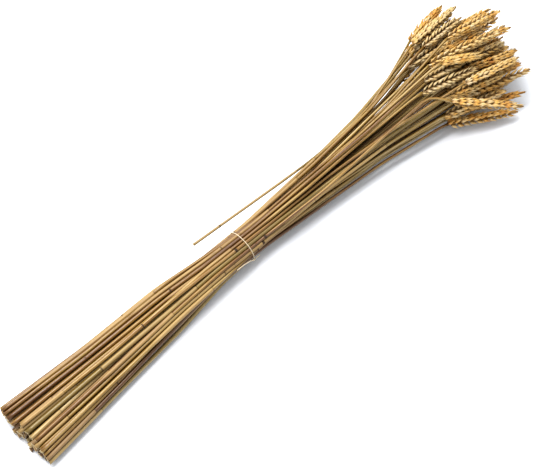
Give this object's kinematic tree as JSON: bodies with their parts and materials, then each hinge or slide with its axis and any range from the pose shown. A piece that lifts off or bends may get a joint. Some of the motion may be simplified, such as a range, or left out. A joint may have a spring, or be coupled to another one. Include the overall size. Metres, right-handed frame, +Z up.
{
  "type": "tied wheat bunch",
  "caption": "Bunch of dried wheat ears on long straw stalks, tied once round the waist with thin white string and lying on its side",
  "frame": {"origin": "under the middle of the bunch's box, on the surface that it lies on", "axes": "+X along the bunch from the cut ends to the ears, +Y across it to the side where the loose stalk lies, +Z up"},
  "size_m": [0.6964, 0.1544, 0.0861],
  "materials": {
    "straw": "matt dry straw",
    "string": "matt twisted cotton"
  },
  "bodies": {
    "root": {"stalk_01": "straw", "stalk_02": "straw", "stalk_03": "straw", "stalk_04": "straw", "stalk_05": "straw", "stalk_06": "straw", "stalk_07": "straw", "stalk_08": "straw", "stalk_09": "straw", "stalk_10": "straw", "stalk_11": "straw", "stalk_12": "straw", "stalk_13": "straw", "stalk_14": "straw", "stalk_15": "straw", "stalk_16": "straw", "stalk_17": "straw", "stalk_18": "straw", "stalk_19": "straw", "stalk_20": "straw", "stalk_21": "straw", "stalk_22": "straw", "stalk_23": "straw", "stalk_24": "straw", "stalk_25": "straw", "stalk_26": "straw", "stalk_27": "straw", "stalk_28": "straw", "stalk_29": "straw", "stalk_30": "straw", "stalk_31": "straw", "stalk_32": "straw", "stalk_33": "straw", "stalk_34": "straw", "stalk_35": "straw", "stalk_36": "straw", "stalk_37": "straw", "stalk_38": "straw", "stalk_39": "straw", "stalk_40": "straw", "stalk_41": "straw", "stalk_42": "straw", "stalk_43": "straw", "stalk_44": "straw", "stalk_45": "straw", "stalk_46": "straw", "stalk_47": "straw", "stalk_48": "straw", "stalk_49": "straw", "stalk_50": "straw", "stalk_51": "straw", "stalk_52": "straw", "stalk_53": "straw", "stalk_54": "straw", "stalk_55": "straw", "stalk_56": "straw", "stalk_57": "straw", "loose_stalk": "straw", "tie_string": "string"}
  },
  "joints": []
}
